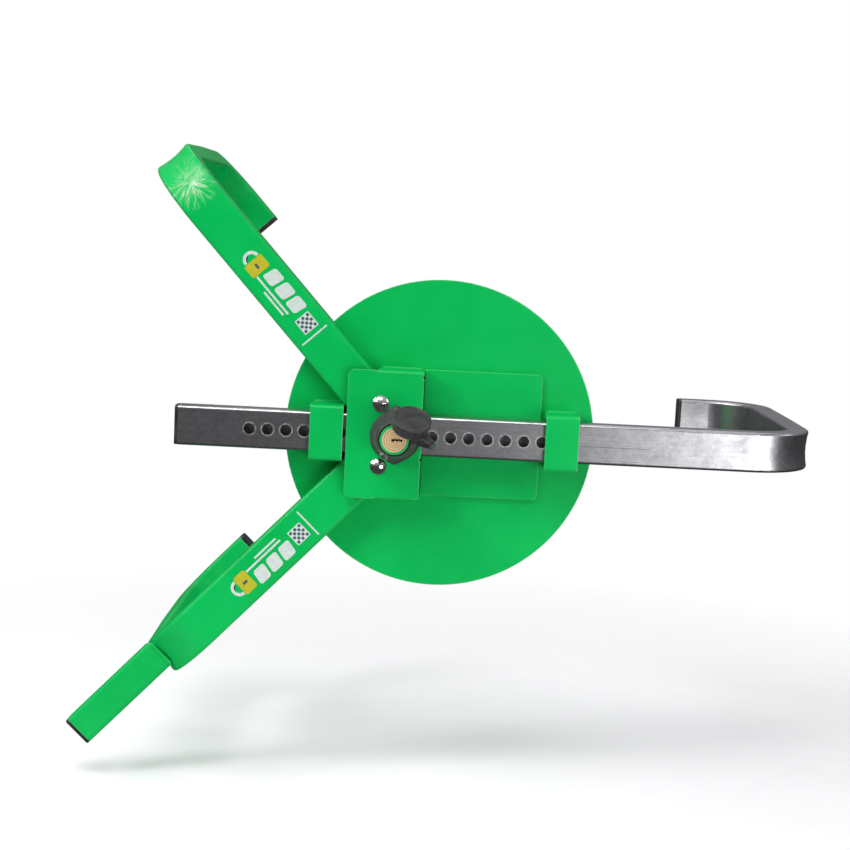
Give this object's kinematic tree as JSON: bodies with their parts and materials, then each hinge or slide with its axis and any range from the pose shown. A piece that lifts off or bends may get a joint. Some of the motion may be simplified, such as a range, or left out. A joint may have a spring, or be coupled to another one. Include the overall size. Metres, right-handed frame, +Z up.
{
  "type": "wheel clamp",
  "caption": "Wheel clamp: hub plate with two fixed hooked arms, a hooked arm that slides through straps, and a key lock with a rubber dust cover.",
  "frame": {"origin": "centre of the round hub plate on its back face, which rests against the wheel", "axes": "+X along the sliding arm towards its hook, +Z up, the lock and front face -Y, +Y into the wheel"},
  "size_m": [0.6608, 0.3394, 0.5472],
  "materials": {
    "green_paint": "semi-gloss green powder coat",
    "galvanised": "galvanised steel tube",
    "bright_fasteners": "polished zinc plate",
    "plain_steel": "turned steel",
    "black_plastic": "moulded black plastic",
    "black_rubber": "moulded black rubber",
    "lock_brass": "turned brass",
    "spring_steel": "spring wire"
  },
  "bodies": {
    "clamp_frame": {"hub_disc": "green_paint", "base_plate": "green_paint", "upper_arm": "green_paint", "lower_arm": "green_paint", "upper_arm_plug": "black_plastic", "lower_arm_plug": "black_plastic", "spur_bar": "green_paint", "spur_cap": "black_plastic", "left_keeper": "green_paint", "right_keeper": "green_paint", "lock_cover": "green_paint", "cover_bolts": "bright_fasteners", "bolt_spacers": "plain_steel", "bolt_nuts": "bright_fasteners", "lock_housing": "green_paint", "housing_dowels": "plain_steel", "cylinder_body": "lock_brass", "bolt_guide": "plain_steel", "dust_collar": "black_rubber", "dust_strap": "black_rubber"},
    "sliding_arm": {"slide_tube": "galvanised", "slide_plug": "black_plastic", "slide_end_cap": "black_plastic"},
    "key_core": {"key_plug": "lock_brass", "lock_wafers": "lock_brass", "wafer_springs": "spring_steel", "plug_clip": "spring_steel", "cam_sleeve": "plain_steel", "cam_screw": "plain_steel"},
    "bolt_body": {"lock_bolt": "plain_steel", "drive_pin": "plain_steel"},
    "dust_cap_body": {"dust_cap": "black_rubber"}
  },
  "joints": [
    {"name": "arm_slide", "type": "slide", "parent": "clamp_frame", "child": "sliding_arm", "axis": [1, 0, 0], "range_m": [-0.128, 0.112]},
    {"name": "key_turn", "type": "hinge", "parent": "clamp_frame", "child": "key_core", "pos_m": [-0.038, -0.05, 0], "axis": [0, 1, 0], "range_deg": [0, 90]},
    {"name": "bolt_throw", "type": "slide", "parent": "clamp_frame", "child": "bolt_body", "axis": [0, 1, 0], "range_m": [0, 0.0065]},
    {"name": "cap_swing", "type": "hinge", "parent": "clamp_frame", "child": "dust_cap_body", "pos_m": [-0.03366, -0.04829, 0.02399], "axis": [0.8381, 0.3932, -0.378], "range_deg": [0, 61.24], "deforming": ["dust_strap"]}
  ],
  "couplings": [
    {"joint": "key_turn", "follows": "bolt_throw", "rad_per_m": 241.66}
  ]
}
